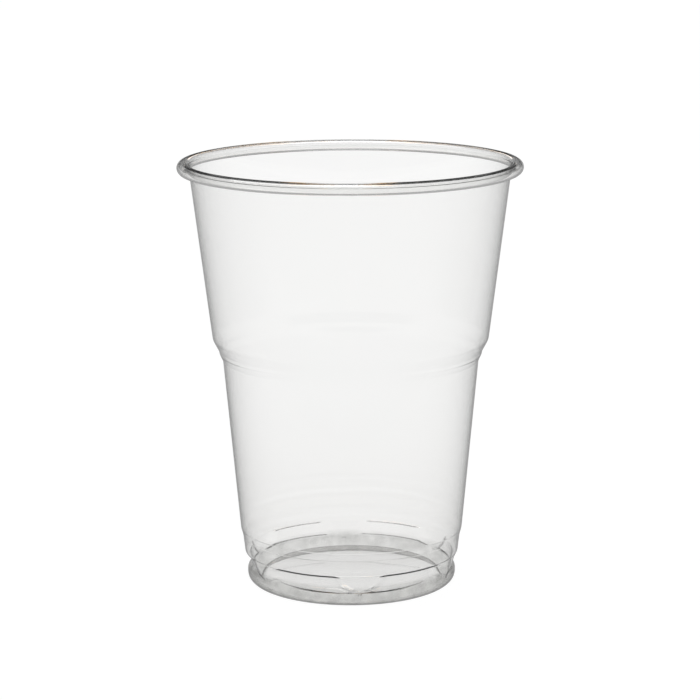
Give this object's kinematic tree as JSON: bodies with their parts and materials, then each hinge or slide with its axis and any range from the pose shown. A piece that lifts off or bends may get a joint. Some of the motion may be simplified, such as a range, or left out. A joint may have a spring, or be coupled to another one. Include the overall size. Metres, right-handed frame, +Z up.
{
  "type": "plastic party cup",
  "caption": "Clear thermoformed plastic drinking cup with a rolled rim, a stepped wall and a stacking ledge above its foot.",
  "frame": {"origin": "centre of the ring that the cup stands on, on the table's surface", "axes": "+Z up along the cup's axis, towards the rim; -Y is the side that faces the camera; +X to the right"},
  "size_m": [0.095, 0.095, 0.1186],
  "materials": {
    "clear_plastic": "clear, glossy"
  },
  "bodies": {
    "root": {"cup": "clear_plastic"}
  },
  "joints": []
}
